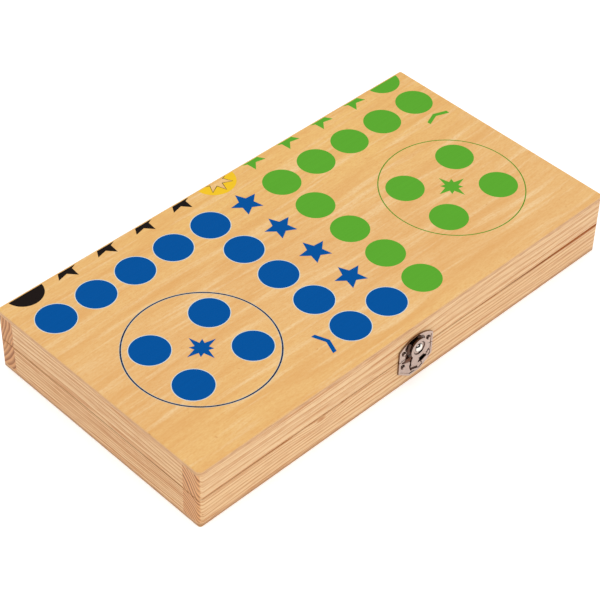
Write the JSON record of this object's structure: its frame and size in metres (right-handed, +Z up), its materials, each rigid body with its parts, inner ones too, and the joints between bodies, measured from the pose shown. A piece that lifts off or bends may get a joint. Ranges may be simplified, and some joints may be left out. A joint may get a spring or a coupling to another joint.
{
  "type": "folding ludo board box",
  "caption": "Flat wooden box of two hinged trays, closed by a nickel swing latch; the outer faces carry the two halves of a printed ludo board and open flat into one square board",
  "frame": {"origin": "under the middle of the closed box, on the surface it lies on", "axes": "+X along the hinge line, towards the right as seen from the latch; +Y from the latch side towards the hinge side; +Z up"},
  "size_m": [0.3, 0.1612, 0.04],
  "materials": {
    "plywood": "satin lacquer over a pale softwood veneer",
    "pine": "satin lacquer, end grain darker",
    "hinge_steel": "nickel plated, satin",
    "latch_nickel": "nickel plated, bright",
    "ink_blue": "screen-printed ink, satin",
    "ink_white": "screen-printed underprint, satin",
    "ink_green": "screen-printed ink, satin",
    "ink_black": "screen-printed ink, satin",
    "ink_yellow": "screen-printed ink, satin",
    "ink_red": "screen-printed ink, satin"
  },
  "bodies": {
    "lower_tray": {"bottom_panel": "plywood", "lower_front_rail": "pine", "lower_back_rail": "pine", "lower_left_rail": "pine", "lower_right_rail": "pine", "left_hinge_lower_leaf": "hinge_steel", "left_hinge_pin": "hinge_steel", "right_hinge_lower_leaf": "hinge_steel", "right_hinge_pin": "hinge_steel", "lower_hinge_screws": "hinge_steel", "latch_base_plate": "latch_nickel", "latch_base_nails": "latch_nickel", "lower_print_red": "ink_red", "lower_print_black": "ink_black", "lower_print_green": "ink_green", "lower_print_yellow": "ink_yellow"},
    "upper_tray": {"top_panel": "plywood", "upper_front_rail": "pine", "upper_back_rail": "pine", "upper_left_rail": "pine", "upper_right_rail": "pine", "left_hinge_upper_leaf": "hinge_steel", "right_hinge_upper_leaf": "hinge_steel", "upper_hinge_screws": "hinge_steel", "latch_lid_plate": "latch_nickel", "latch_rivet": "latch_nickel", "latch_lid_nails": "latch_nickel", "upper_print_blue": "ink_blue", "upper_print_white": "ink_white", "upper_print_green": "ink_green", "upper_print_black": "ink_black", "upper_print_yellow": "ink_yellow"},
    "latch_lever": {"latch_lever": "latch_nickel"}
  },
  "joints": [
    {"name": "lid_fold", "type": "hinge", "parent": "lower_tray", "child": "upper_tray", "pos_m": [0, 0.0777, 0.02], "axis": [-1, 0, 0], "range_deg": [0, 180]},
    {"name": "latch_swing", "type": "hinge", "parent": "upper_tray", "child": "latch_lever", "pos_m": [0, -0.0775, 0.0248], "axis": [0, 1, 0], "range_deg": [0, 95]}
  ]
}
